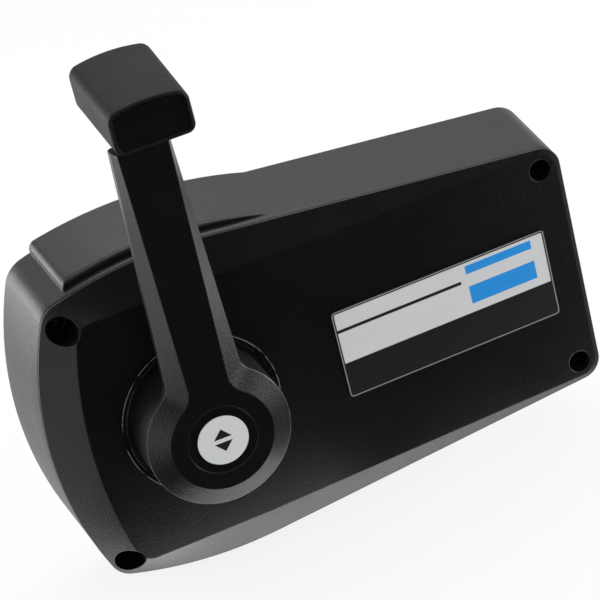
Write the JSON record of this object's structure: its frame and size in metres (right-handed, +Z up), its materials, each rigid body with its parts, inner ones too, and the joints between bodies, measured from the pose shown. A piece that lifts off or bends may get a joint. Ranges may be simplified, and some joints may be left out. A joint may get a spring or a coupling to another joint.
{
  "type": "boat throttle control lever",
  "caption": "Side-mount boat engine control: a hand lever with a warm-up button works throttle and shift cables through a crank, a gear sector and a detent in a moulded case.",
  "frame": {"origin": "where the lever shaft's axis meets the mounting face", "axes": "+X aft, toward the narrow cable end; +Y into the wall; +Z up, along the upright lever"},
  "size_m": [0.2481, 0.086, 0.2343],
  "materials": {
    "housing_black": "fine moulded grain",
    "cover_black": "fine moulded grain",
    "lever_black": "textured black powder coat over cast aluminium",
    "grip_black": "soft matte grip",
    "button_black": "satin moulded",
    "label": "printed brushed foil",
    "badge": "brushed",
    "ring": "polished",
    "plate_steel": "zinc plated",
    "screw_steel": "stainless",
    "shaft_steel": "ground",
    "gear_steel": "machined",
    "arm_steel": "zinc plated",
    "brass": "turned",
    "bush_plastic": "natural acetal",
    "seal_rubber": "moulded",
    "brake_lining": "moulded lining",
    "switch_plastic": "moulded",
    "spring_steel": "drawn wire",
    "anchor_plastic": "glass filled"
  },
  "bodies": {
    "case": {"rear_housing": "housing_black", "front_cover": "cover_black", "label_plate": "label", "trim_ring": "ring", "port_block": "housing_black", "base_plate": "plate_steel", "bolt_sleeves": "screw_steel", "cover_screws": "screw_steel", "base_screws": "screw_steel", "front_bushing": "bush_plastic", "shaft_seal": "seal_rubber", "rear_bushing": "bush_plastic", "pivot_posts": "shaft_steel", "throttle_anchor": "anchor_plastic", "shift_anchor": "anchor_plastic", "throttle_anchor_cap": "anchor_plastic", "shift_anchor_cap": "anchor_plastic", "anchor_screws": "screw_steel", "detent_bracket": "plate_steel", "detent_sleeve": "brass", "detent_plug": "screw_steel", "detent_ball": "shaft_steel", "detent_spring": "spring_steel", "friction_shoe": "brake_lining", "friction_bracket": "plate_steel", "friction_screw": "screw_steel", "switch_bracket": "plate_steel", "neutral_switch": "switch_plastic", "switch_fixings": "screw_steel", "switch_terminals": "brass"},
    "lever": {"lever_arm": "lever_black", "knob": "grip_black", "knob_panel": "button_black", "knob_screws": "screw_steel", "hub_set_screw": "screw_steel", "main_shaft": "shaft_steel", "shaft_spacers": "bush_plastic", "throttle_crank": "arm_steel", "crank_pin": "shaft_steel", "drive_gear": "gear_steel", "detent_disc": "gear_steel", "friction_drum": "gear_steel", "switch_cam": "bush_plastic"},
    "button": {"button_cap": "button_black", "button_badge": "badge", "button_stem": "shaft_steel", "dog_pin": "shaft_steel", "stem_clip": "spring_steel", "button_spring": "spring_steel"},
    "shift_lever": {"shift_gear": "gear_steel", "shift_arm": "arm_steel"},
    "shift_cable_swivel": {"shift_swivel": "brass", "shift_clamp_screw": "screw_steel"},
    "throttle_lever": {"throttle_arm": "arm_steel", "throttle_arm_pin": "shaft_steel"},
    "throttle_rod": {"throttle_link": "arm_steel"},
    "throttle_cable_swivel": {"throttle_swivel": "brass", "throttle_clamp_screw": "screw_steel"},
    "switch_button": {"switch_plunger": "bush_plastic"}
  },
  "joints": [
    {"name": "lever_hinge", "type": "hinge", "parent": "case", "child": "lever", "pos_m": [0, 0, 0], "axis": [0, 1, 0], "range_deg": [-85, 45]},
    {"name": "warm_up_button", "type": "slide", "parent": "lever", "child": "button", "axis": [0, 1, 0], "range_m": [0, 0.005], "stiffness_N_per_m": 1200, "deforming": ["button_spring"]},
    {"name": "shift_hinge", "type": "hinge", "parent": "case", "child": "shift_lever", "pos_m": [0.03816, 0, -0.02385], "axis": [0, 1, 0], "range_deg": [-27.5, 52]},
    {"name": "shift_swivel_hinge", "type": "hinge", "parent": "shift_lever", "child": "shift_cable_swivel", "pos_m": [0.03816, 0, -0.05185], "axis": [0, 1, 0], "range_deg": [-52, 27.5]},
    {"name": "throttle_hinge", "type": "hinge", "parent": "case", "child": "throttle_lever", "pos_m": [0.056, 0, 0.02], "axis": [0, 1, 0], "range_deg": [-85.5, 45.5]},
    {"name": "throttle_link_hinge", "type": "hinge", "parent": "lever", "child": "throttle_rod", "pos_m": [0, 0, 0.03], "axis": [0, 1, 0], "range_deg": [-45.5, 85.5]},
    {"name": "throttle_swivel_hinge", "type": "hinge", "parent": "throttle_lever", "child": "throttle_cable_swivel", "pos_m": [0.056, 0, -0.008], "axis": [0, 1, 0], "range_deg": [-45.5, 85.5]},
    {"name": "switch_plunger_slide", "type": "slide", "parent": "case", "child": "switch_button", "axis": [0, 0, -1], "range_m": [0, 0.001], "stiffness_N_per_m": 300}
  ],
  "couplings": [
    {"joint": "shift_hinge", "follows": "lever_hinge", "ratio": -0.60714},
    {"joint": "shift_swivel_hinge", "follows": "lever_hinge", "ratio": 0.60714},
    {"joint": "throttle_hinge", "follows": "lever_hinge", "ratio": 1},
    {"joint": "throttle_link_hinge", "follows": "lever_hinge", "ratio": -1},
    {"joint": "throttle_swivel_hinge", "follows": "lever_hinge", "ratio": -1}
  ]
}
